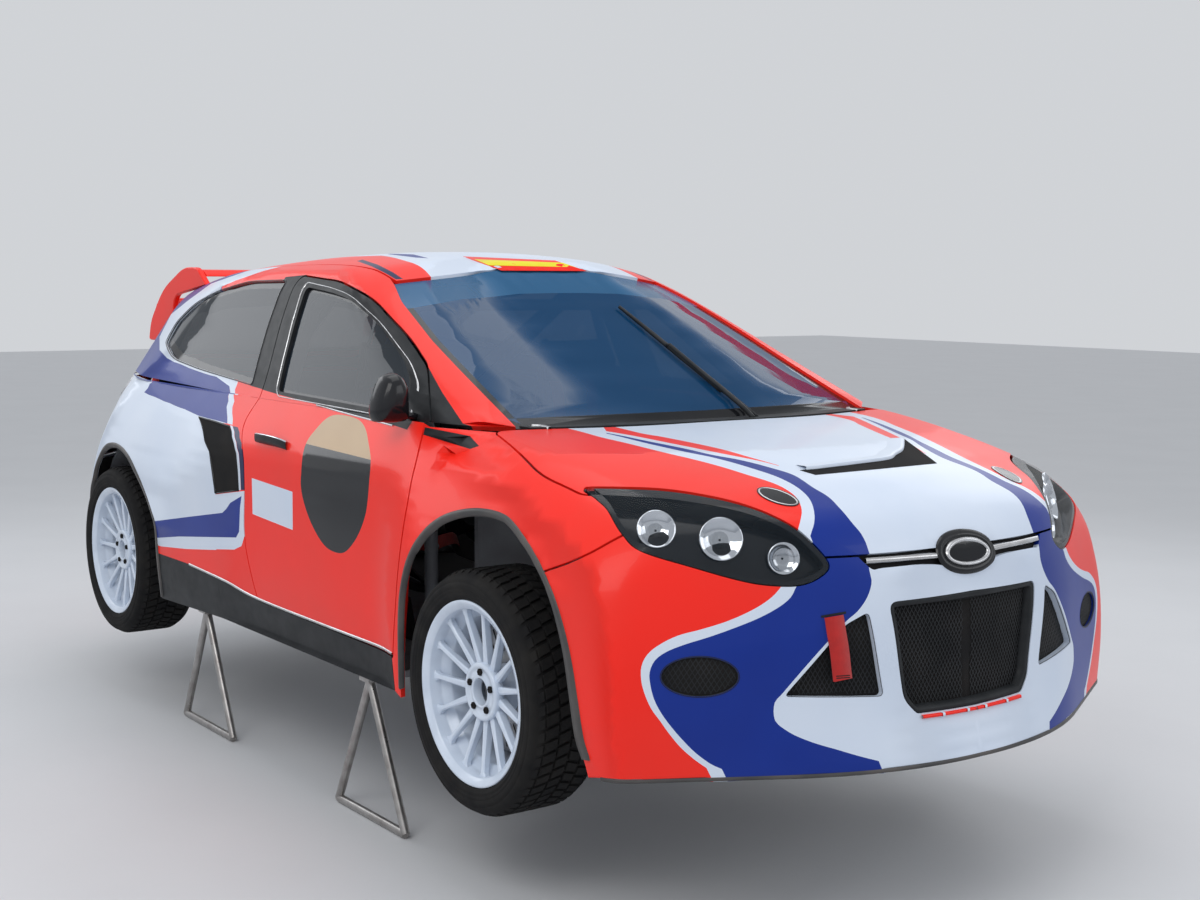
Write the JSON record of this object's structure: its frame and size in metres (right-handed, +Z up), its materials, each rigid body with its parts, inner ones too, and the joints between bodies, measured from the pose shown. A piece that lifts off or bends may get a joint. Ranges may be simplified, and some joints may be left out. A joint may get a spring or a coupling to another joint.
{
  "type": "rally car",
  "caption": "Hatchback rally car with wide arches, caged two-seat cabin, opening doors, bonnet and tailgate, steered and rolling wheels, on axle stands.",
  "frame": {"origin": "middle of the bounding box, on the floor under the axle stands' feet", "axes": "+X forward, +Y to the car's left, +Z up"},
  "size_m": [4.3798, 1.8812, 1.7128],
  "materials": {
    "body_paint": "glossy paint",
    "white_paint": "glossy paint",
    "cage_paint": "satin paint",
    "glass": "clear",
    "lamp_glass": "clear",
    "lamp_red": "tinted",
    "black_plastic": "moulded",
    "gloss_black": "gloss",
    "rim_paint": "gloss white",
    "tyre_rubber": "rubber",
    "steel": "brushed",
    "cast": "cast",
    "alloy": "satin",
    "seat_fabric": "woven",
    "strap": "woven"
  },
  "bodies": {
    "root": {"roof": "body_paint", "front_bumper": "body_paint", "rear_bumper": "body_paint", "cowl": "black_plastic", "windscreen": "glass", "quarter_windows": "glass", "headlamps": "lamp_glass", "tail_lamps": "lamp_red", "intake_panels": "black_plastic", "wiper": "black_plastic", "floor_pan": "white_paint", "roll_cage": "cage_paint", "seats": "seat_fabric", "dashboard": "black_plastic", "engine": "cast", "radiator": "alloy", "sump_guard": "alloy", "exhaust": "steel", "subframes": "cast", "rear_uprights": "cast", "rear_struts": "steel", "axle_stands": "steel", "side_frame_right": "body_paint", "side_frame_left": "body_paint", "front_fender_right": "body_paint", "front_fender_left": "body_paint", "front_rails": "cast", "tow_strap": "strap"},
    "steering": {"steering_wheel": "black_plastic"},
    "bonnet_lid": {"bonnet": "body_paint"},
    "tailgate_lid": {"tailgate": "body_paint", "rear_window": "glass", "rear_wing": "body_paint"},
    "door_leaf_right": {"door_right": "body_paint", "door_window_right": "glass", "door_handle_right": "black_plastic", "mirror_right": "gloss_black"},
    "hub_front_right": {"front_knuckle_right": "cast", "front_strut_right": "steel"},
    "wheel_front_right": {"front_rim_right": "rim_paint", "front_tyre_right": "tyre_rubber"},
    "wheel_rear_right": {"rear_rim_right": "rim_paint", "rear_tyre_right": "tyre_rubber"},
    "door_leaf_left": {"door_left": "body_paint", "door_window_left": "glass", "door_handle_left": "black_plastic"},
    "hub_front_left": {"front_knuckle_left": "cast", "front_strut_left": "steel"},
    "wheel_front_left": {"front_rim_left": "rim_paint", "front_tyre_left": "tyre_rubber"},
    "wheel_rear_left": {"rear_rim_left": "rim_paint", "rear_tyre_left": "tyre_rubber"}
  },
  "joints": [
    {"name": "steer_right", "type": "hinge", "parent": "root", "child": "hub_front_right", "pos_m": [1.252, -0.758, 0.446], "axis": [0, 0.2232, 0.9748], "range_deg": [-30, 30]},
    {"name": "spin_front_right", "type": "hinge", "parent": "hub_front_right", "child": "wheel_front_right", "pos_m": [1.252, -0.82, 0.543], "axis": [0, 1, 0], "continuous": true},
    {"name": "spin_rear_right", "type": "hinge", "parent": "root", "child": "wheel_rear_right", "pos_m": [-1.396, -0.82, 0.555], "axis": [0, 1, 0], "continuous": true},
    {"name": "door_right_hinge", "type": "hinge", "parent": "root", "child": "door_leaf_right", "pos_m": [0.922, -0.9, 0.856], "axis": [0, 0, 1], "range_deg": [0, 65]},
    {"name": "steer_left", "type": "hinge", "parent": "root", "child": "hub_front_left", "pos_m": [1.252, 0.758, 0.446], "axis": [0, -0.2232, 0.9748], "range_deg": [-30, 30]},
    {"name": "spin_front_left", "type": "hinge", "parent": "hub_front_left", "child": "wheel_front_left", "pos_m": [1.252, 0.82, 0.543], "axis": [0, 1, 0], "continuous": true},
    {"name": "spin_rear_left", "type": "hinge", "parent": "root", "child": "wheel_rear_left", "pos_m": [-1.396, 0.82, 0.555], "axis": [0, 1, 0], "continuous": true},
    {"name": "door_left_hinge", "type": "hinge", "parent": "root", "child": "door_leaf_left", "pos_m": [0.922, 0.9, 0.856], "axis": [0, 0, -1], "range_deg": [0, 65]},
    {"name": "bonnet_hinge", "type": "hinge", "parent": "root", "child": "bonnet_lid", "pos_m": [1.102, 0, 1.218], "axis": [0, -1, 0], "range_deg": [0, 50]},
    {"name": "tailgate_hinge", "type": "hinge", "parent": "root", "child": "tailgate_lid", "pos_m": [-1.394, 0, 1.644], "axis": [0, 1, 0], "range_deg": [0, 70]},
    {"name": "steering_wheel_turn", "type": "hinge", "parent": "root", "child": "steering", "pos_m": [0.352, 0.37, 1.056], "axis": [-0.9642, 0, 0.2652], "range_deg": [-360, 360]}
  ],
  "couplings": [
    {"joint": "steer_left", "follows": "steer_right", "ratio": 1},
    {"joint": "steering_wheel_turn", "follows": "steer_right", "ratio": 12}
  ]
}
